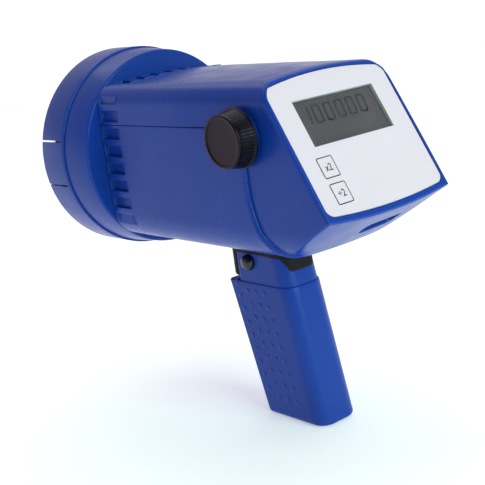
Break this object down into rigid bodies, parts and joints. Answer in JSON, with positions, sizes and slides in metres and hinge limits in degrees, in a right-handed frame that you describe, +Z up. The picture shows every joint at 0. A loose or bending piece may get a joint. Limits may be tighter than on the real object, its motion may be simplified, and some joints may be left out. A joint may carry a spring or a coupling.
{
  "type": "handheld stroboscope",
  "caption": "Pistol-grip battery stroboscope with a round flash lamp, sloping LCD panel, two keys, side speed knob, trigger and lock button.",
  "frame": {"origin": "middle of the flat land on the underside of the grip base cap, behind the tripod insert, on the mid-plane", "axes": "+Z up, lamp faces -Y, display panel faces +Y, speed knob on +X"},
  "size_m": [0.123, 0.23, 0.2141],
  "materials": {
    "blue_plastic": "semi-gloss moulded",
    "clear_plastic": "clear",
    "tube_glass": "clear",
    "gasket_rubber": "matte",
    "reflector": "polished",
    "ceramic_base": "matte",
    "black_plastic": "satin",
    "black_gloss": "glossy",
    "circuit_board": "solder resist",
    "label": "satin",
    "lcd": "grey twisted-nematic glass",
    "steel": "zinc plated",
    "heat_sink_aluminium": "extruded",
    "brass": "turned",
    "sleeve": "shrink sleeve",
    "copper": "enamelled copper winding"
  },
  "bodies": {
    "root": {"panel_label": "label", "display_window": "clear_plastic", "lcd_glass": "lcd", "lcd_frame": "black_plastic", "display_board": "circuit_board", "times_two_switch": "black_plastic", "divide_two_switch": "black_plastic", "charge_jack": "black_plastic", "sync_jack_in": "black_plastic", "sync_jack_out": "black_plastic", "lamp_bezel": "blue_plastic", "lamp_lens": "clear_plastic", "lamp_gasket": "gasket_rubber", "lamp_drum": "blue_plastic", "reflector_bowl": "reflector", "flash_tube": "tube_glass", "flash_tube_base": "ceramic_base", "flash_tube_socket": "black_plastic", "lamp_board": "circuit_board", "head_screw_1": "steel", "head_screw_2": "steel", "head_screw_3": "steel", "head_screw_4": "steel", "upper_housing": "blue_plastic", "lower_housing": "blue_plastic", "case_screw_front_right": "steel", "case_screw_front_left": "steel", "case_screw_rear_right": "steel", "case_screw_rear_left": "steel", "grip_base_cap": "blue_plastic", "tripod_insert": "brass", "cap_screw_1": "steel", "cap_screw_2": "steel", "trigger_switch": "black_plastic", "trigger_spring": "steel", "encoder_body": "steel", "encoder_washer": "steel", "encoder_nut": "steel", "main_board": "circuit_board", "flash_capacitor": "sleeve", "inverter_transformer": "copper", "trigger_transformer": "copper", "heat_sink": "heat_sink_aluminium", "battery_cell_1": "sleeve", "battery_cell_2": "sleeve", "battery_cell_3": "sleeve", "battery_cell_4": "sleeve", "battery_strap": "steel"},
    "knob": {"speed_knob": "black_plastic", "encoder_shaft": "brass"},
    "trigger": {"trigger": "black_plastic"},
    "lock_button": {"lock_button": "black_gloss"},
    "key_times_two": {"key_times_two": "label"},
    "key_divide_two": {"key_divide_two": "label"}
  },
  "joints": [
    {"name": "knob_spin", "type": "hinge", "parent": "root", "child": "knob", "pos_m": [0.0471, 0.01735, 0.1697], "axis": [1, 0, 0], "continuous": true},
    {"name": "trigger_pull", "type": "slide", "parent": "root", "child": "trigger", "axis": [0, 1, 0], "range_m": [0, 0.0025], "stiffness_N_per_m": 1500, "springref_m": -0.001, "deforming": ["trigger_spring"]},
    {"name": "lock_press", "type": "slide", "parent": "root", "child": "lock_button", "axis": [-1, 0, 0], "range_m": [0, 0.001], "stiffness_N_per_m": 1200, "springref_m": -0.0005},
    {"name": "times_two_press", "type": "slide", "parent": "root", "child": "key_times_two", "axis": [0, -0.8612, -0.5083], "range_m": [0, 0.0004], "stiffness_N_per_m": 2000, "springref_m": -0.0003},
    {"name": "divide_two_press", "type": "slide", "parent": "root", "child": "key_divide_two", "axis": [0, -0.8612, -0.5083], "range_m": [0, 0.0004], "stiffness_N_per_m": 2000, "springref_m": -0.0003}
  ]
}
